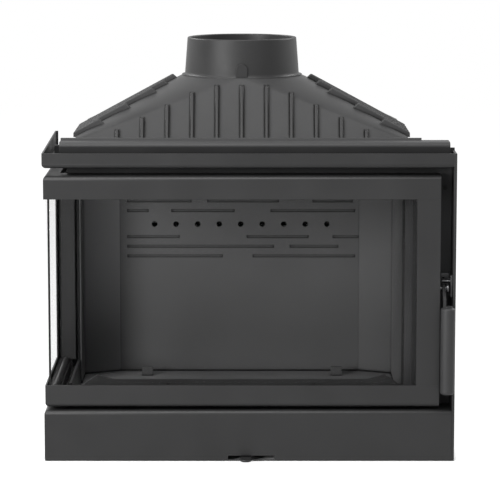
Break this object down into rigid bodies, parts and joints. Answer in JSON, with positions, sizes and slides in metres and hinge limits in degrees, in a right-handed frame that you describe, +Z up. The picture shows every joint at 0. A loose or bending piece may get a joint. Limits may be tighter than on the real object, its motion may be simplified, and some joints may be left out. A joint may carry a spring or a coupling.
{
  "type": "fireplace insert",
  "caption": "Fireplace insert with a glazed corner door hinged at its left rear edge, a side handle, an air lever in the plinth and a ribbed cast smoke hood with a round flue collar.",
  "frame": {"origin": "under the middle of the overall box, on the floor", "axes": "+X to the right as one faces the door, +Y to the rear, +Z up"},
  "size_m": [0.74, 0.54, 0.751],
  "materials": {
    "black_steel": "matt heat-resistant paint",
    "cast_iron": "cast, painted matt",
    "bare_steel": "dull zinc",
    "handle_metal": "satin",
    "dark_lining": "dark fired vermiculite and fireclay, matt",
    "ceramic_glass": "clear ceramic glass",
    "rope_seal": "braided glass fibre"
  },
  "bodies": {
    "firebox": {"base_plate": "black_steel", "floor_plate": "black_steel", "plinth": "black_steel", "right_side_panel": "black_steel", "top_strip": "black_steel", "strip_brackets": "black_steel", "front_plate": "black_steel", "left_wall": "black_steel", "right_wall": "black_steel", "rear_wall": "black_steel", "shoulder_plate": "black_steel", "upper_walls": "black_steel", "top_plate": "black_steel", "air_wash_box": "black_steel", "smoke_hood": "cast_iron", "flue_collar": "cast_iron", "hood_bolts": "bare_steel", "rear_lining": "dark_lining", "left_lining": "dark_lining", "right_lining": "dark_lining", "left_corner_lining": "dark_lining", "right_corner_lining": "dark_lining", "rear_air_duct": "black_steel", "lower_baffle": "dark_lining", "upper_baffle": "black_steel", "baffle_rests": "black_steel", "hearth_tiles": "dark_lining", "ash_pan": "black_steel", "log_guard": "cast_iron", "lining_lugs": "cast_iron", "hinge_brackets": "black_steel", "hinge_pins": "bare_steel", "latch_catch": "bare_steel", "strike_plate": "bare_steel", "recess_screws": "bare_steel", "levelling_feet": "bare_steel", "air_inlet_spigot": "black_steel", "slider_guides": "black_steel"},
    "door": {"door_top_rail": "black_steel", "door_bottom_rail": "black_steel", "door_front_stile": "black_steel", "door_rear_stile": "black_steel", "front_glass": "ceramic_glass", "side_glass": "ceramic_glass", "glass_corner_seal": "rope_seal", "glass_seals": "rope_seal", "glass_beads": "black_steel", "bead_screws": "bare_steel", "door_rope_seal": "rope_seal", "hinge_blocks": "black_steel", "latch_bush": "bare_steel"},
    "latch": {"latch_spindle": "bare_steel", "latch_hook": "bare_steel", "handle_lever": "handle_metal", "handle_grip": "handle_metal"},
    "air_slider": {"air_lever": "black_steel", "air_shutter": "bare_steel"},
    "grate": {"grate": "cast_iron"}
  },
  "joints": [
    {"name": "door_hinge", "type": "hinge", "parent": "firebox", "child": "door", "pos_m": [-0.352, 0.076, 0.309], "axis": [0, 0, -1], "range_deg": [0, 90]},
    {"name": "handle_turn", "type": "hinge", "parent": "door", "child": "latch", "pos_m": [0.34, -0.222, 0.313], "axis": [-1, 0, 0], "range_deg": [0, 60]},
    {"name": "air_slide", "type": "slide", "parent": "firebox", "child": "air_slider", "axis": [1, 0, 0], "range_m": [-0.02, 0.04]},
    {"name": "grate_lift", "type": "slide", "parent": "firebox", "child": "grate", "axis": [0, 0, 1], "range_m": [0, 0.06]}
  ]
}
